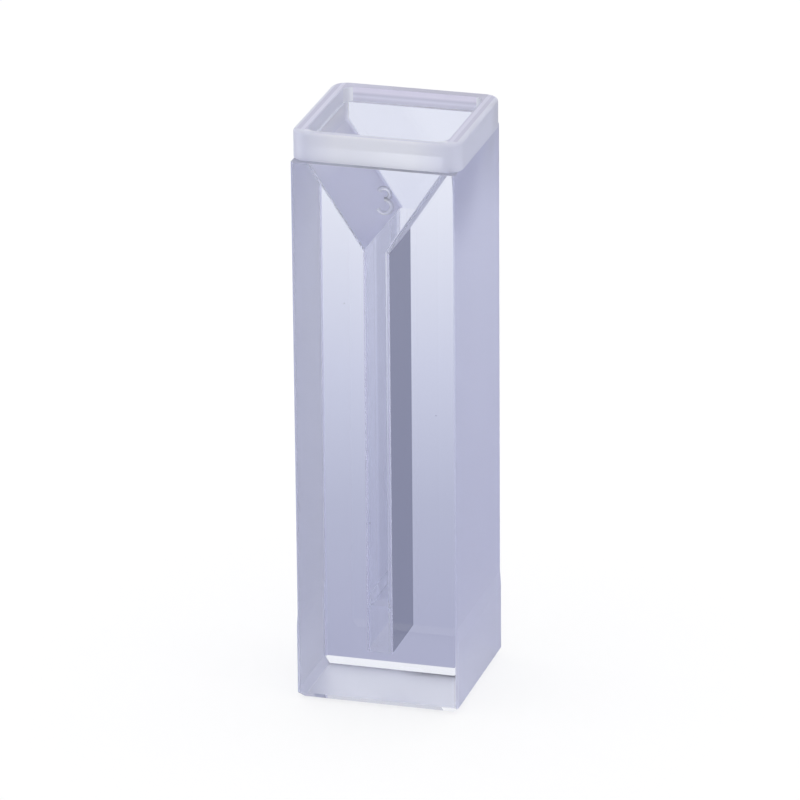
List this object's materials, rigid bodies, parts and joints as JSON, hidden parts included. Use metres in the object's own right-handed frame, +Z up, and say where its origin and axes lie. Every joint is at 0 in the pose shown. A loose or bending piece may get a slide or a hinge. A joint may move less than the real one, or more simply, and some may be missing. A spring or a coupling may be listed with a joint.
{
  "type": "cuvette",
  "caption": "Square clear plastic cuvette with two clear windows, two frosted sides, a collared lip and a funnel into a narrow sample slot.",
  "frame": {"origin": "centre of the base, on the face the cuvette stands on", "axes": "+Z up towards the mouth; the clear windows face -Y and +Y, the frosted sides face -X and +X; -Y is the front window, over which the collar is set back"},
  "size_m": [0.013, 0.0126, 0.045],
  "materials": {
    "clear_polystyrene": "clear with polished windows, and frosted on the two sides at -X and +X"
  },
  "bodies": {
    "root": {"cuvette": "clear_polystyrene"}
  },
  "joints": []
}
